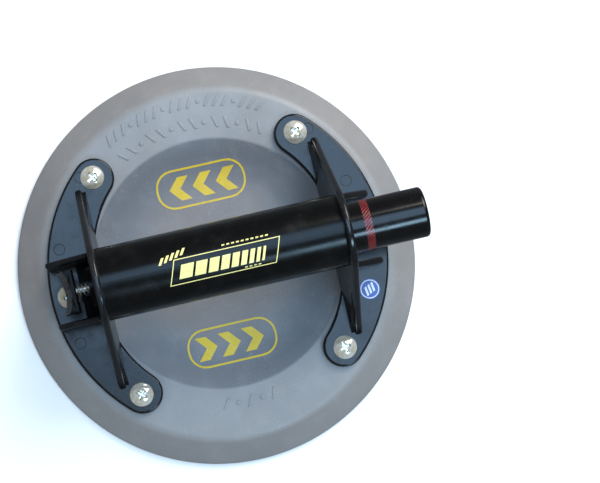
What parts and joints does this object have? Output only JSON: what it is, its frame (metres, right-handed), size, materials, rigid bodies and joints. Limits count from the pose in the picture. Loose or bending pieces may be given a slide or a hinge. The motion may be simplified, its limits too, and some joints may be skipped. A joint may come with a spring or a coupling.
{
  "type": "vacuum suction cup",
  "caption": "Hand-held vacuum suction cup: round grey rubber pad bridged by a black handle whose barrel is a hand pump, with a plunger and a release paddle.",
  "frame": {"origin": "centre of the pad's sealing plane", "axes": "+Z away from the glass, +X along the barrel towards the plunger, +Y across the barrel"},
  "size_m": [0.2032, 0.2032, 0.09],
  "materials": {
    "pad_rubber": "matte grey rubber, dull",
    "steel_plate": "bright zinc",
    "brass": "plain",
    "black_abs": "gloss, injection moulded",
    "black_barrel": "satin gloss",
    "screw_steel": "bright nickel plate",
    "spring_steel": "drawn wire",
    "red_band": "fine grooves",
    "white_acetal": "satin",
    "seal_rubber": "smooth black",
    "felt": "pressed felt",
    "sticker": "printed film"
  },
  "bodies": {
    "cup": {"pad_rubber": "pad_rubber", "pad_backing_plate": "steel_plate", "pad_inserts": "brass", "suction_bush": "brass", "port_filter": "felt", "port_seal": "seal_rubber", "suction_tube": "brass", "bracket_valve_end": "black_abs", "bracket_plunger_end": "black_abs", "bracket_screws": "screw_steel", "pump_barrel": "black_barrel", "guide_bush": "white_acetal", "wiper_ring": "seal_rubber", "retaining_rings": "spring_steel", "valve_body": "black_abs", "valve_body_oring": "seal_rubber", "valve_plate": "white_acetal", "intake_valve": "seal_rubber", "release_spring": "spring_steel", "return_spring": "spring_steel", "info_sticker": "sticker"},
    "plunger": {"plunger_tube": "black_barrel", "indicator_band": "red_band", "piston_head": "white_acetal", "piston_seal": "seal_rubber", "exhaust_valve": "seal_rubber"},
    "release": {"release_paddle": "black_abs", "release_stem": "spring_steel", "release_seal": "seal_rubber", "release_clip": "spring_steel"}
  },
  "joints": [
    {"name": "plunger_slide", "type": "slide", "parent": "cup", "child": "plunger", "axis": [-1, 0, 0], "range_m": [0, 0.03], "stiffness_N_per_m": 500, "springref_m": -0.025, "deforming": ["return_spring"]},
    {"name": "release_slide", "type": "slide", "parent": "cup", "child": "release", "axis": [1, 0, 0], "range_m": [0, 0.0034], "stiffness_N_per_m": 1200, "springref_m": -0.003, "deforming": ["release_spring"]}
  ]
}
